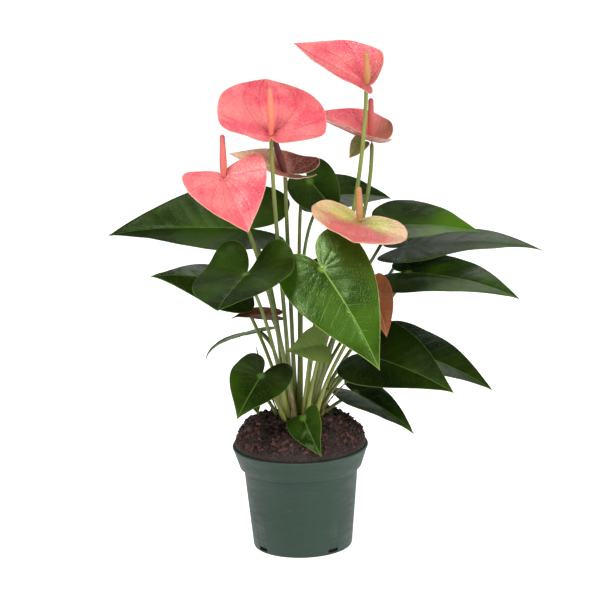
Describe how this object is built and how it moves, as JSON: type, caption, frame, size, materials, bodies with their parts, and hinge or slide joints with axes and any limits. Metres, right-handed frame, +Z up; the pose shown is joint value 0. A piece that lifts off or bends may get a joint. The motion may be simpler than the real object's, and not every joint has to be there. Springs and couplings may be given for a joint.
{
  "type": "potted anthurium plant",
  "caption": "Flowering anthurium with heart-shaped glossy leaves and pink spathes on upright stalks, growing from a bark mix in a tapered plastic nursery pot.",
  "frame": {"origin": "centre of the pot's flat underside, on the surface the pot stands on", "axes": "+Z up along the pot's axis, -Y the front that the picture shows, +X to the right of the picture"},
  "size_m": [0.4171, 0.2587, 0.4892],
  "materials": {
    "pot_plastic": "fine matt moulded plastic, dark green",
    "potting_mix": "loose damp bark chips and peat, dark red-brown",
    "leaf_green": "waxy, glossy dark green leaf with paler veins and edge",
    "leaf_young": "soft semi-gloss olive young leaf",
    "leaf_bronze": "semi-gloss reddish-bronze new leaf",
    "petiole": "smooth satin yellow-green stem",
    "flower_stalk": "smooth satin olive-green stalk",
    "spathe_pink": "glossy salmon pink, embossed veins",
    "spathe_green_pink": "satin cream and yellow-green with a pink centre",
    "spathe_old": "satin cream fading to dull red-brown",
    "spadix_tan": "finely knobbed, matt orange-tan",
    "spadix_red": "finely knobbed, matt pinkish red",
    "spadix_maroon": "finely knobbed, matt dark maroon"
  },
  "bodies": {
    "root": {"pot": "pot_plastic", "potting_mix": "potting_mix", "leaf_far_left_blade": "leaf_green", "leaf_far_left_petiole": "petiole", "leaf_left_lower_blade": "leaf_green", "leaf_left_lower_petiole": "petiole", "leaf_left_round_blade": "leaf_green", "leaf_left_round_petiole": "petiole", "leaf_front_blade": "leaf_green", "leaf_front_petiole": "petiole", "leaf_right_high_blade": "leaf_green", "leaf_right_high_petiole": "petiole", "leaf_right_long_blade": "leaf_green", "leaf_right_long_petiole": "petiole", "leaf_right_wide_blade": "leaf_green", "leaf_right_wide_petiole": "petiole", "leaf_right_low_blade": "leaf_green", "leaf_right_low_petiole": "petiole", "leaf_right_low_back_blade": "leaf_green", "leaf_right_low_back_petiole": "petiole", "leaf_right_small_blade": "leaf_green", "leaf_right_small_petiole": "petiole", "leaf_left_low_blade": "leaf_green", "leaf_left_low_petiole": "petiole", "leaf_left_low_back_blade": "leaf_green", "leaf_left_low_back_petiole": "petiole", "leaf_left_thin_blade": "leaf_green", "leaf_left_thin_petiole": "petiole", "leaf_young_olive_blade": "leaf_young", "leaf_young_olive_petiole": "petiole", "leaf_over_soil_blade": "leaf_green", "leaf_over_soil_petiole": "petiole", "leaf_top_back_blade": "leaf_green", "leaf_top_back_petiole": "petiole", "leaf_back_right_blade": "leaf_green", "leaf_back_right_petiole": "petiole", "leaf_behind_front_blade": "leaf_green", "leaf_behind_front_petiole": "petiole", "leaf_bronze_right_blade": "leaf_bronze", "leaf_bronze_right_petiole": "petiole", "leaf_bronze_left_blade": "leaf_bronze", "leaf_bronze_left_petiole": "petiole", "flower_top_spathe": "spathe_pink", "flower_top_spadix": "spadix_tan", "flower_top_stalk": "flower_stalk", "flower_left_high_spathe": "spathe_pink", "flower_left_high_spadix": "spadix_tan", "flower_left_high_stalk": "flower_stalk", "flower_left_front_spathe": "spathe_pink", "flower_left_front_spadix": "spadix_red", "flower_left_front_stalk": "flower_stalk", "flower_behind_spathe": "spathe_old", "flower_behind_spadix": "spadix_maroon", "flower_behind_stalk": "flower_stalk", "flower_right_open_spathe": "spathe_green_pink", "flower_right_open_spadix": "spadix_tan", "flower_right_open_stalk": "flower_stalk", "flower_right_back_spathe": "spathe_pink", "flower_right_back_spadix": "spadix_red", "flower_right_back_stalk": "flower_stalk"}
  },
  "joints": []
}
